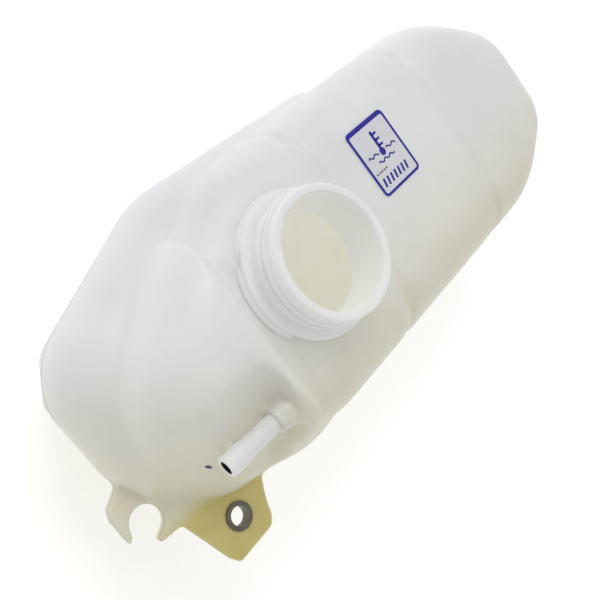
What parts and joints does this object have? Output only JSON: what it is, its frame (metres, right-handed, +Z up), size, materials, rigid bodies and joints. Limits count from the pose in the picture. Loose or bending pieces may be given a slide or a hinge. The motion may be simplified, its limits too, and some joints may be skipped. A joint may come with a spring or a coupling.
{
  "type": "coolant expansion tank",
  "caption": "Hollow moulded coolant expansion tank with a screw neck, a small hose nipple, a hose outlet, a lug and a notched foot.",
  "frame": {"origin": "centre of the filler neck's mouth, on the neck's axis", "axes": "+Z up out of the neck, +X along the barrel to its far end, +Y to the plain side, away from the lug and the hose nipple"},
  "size_m": [0.3563, 0.1489, 0.125],
  "materials": {
    "tank_plastic": "satin, milky, slightly translucent",
    "sleeve_steel": "plated, dull",
    "label_film": "printed film"
  },
  "bodies": {
    "root": {"tank_body": "tank_plastic", "lug_sleeve": "sleeve_steel", "coolant_label": "label_film"}
  },
  "joints": []
}
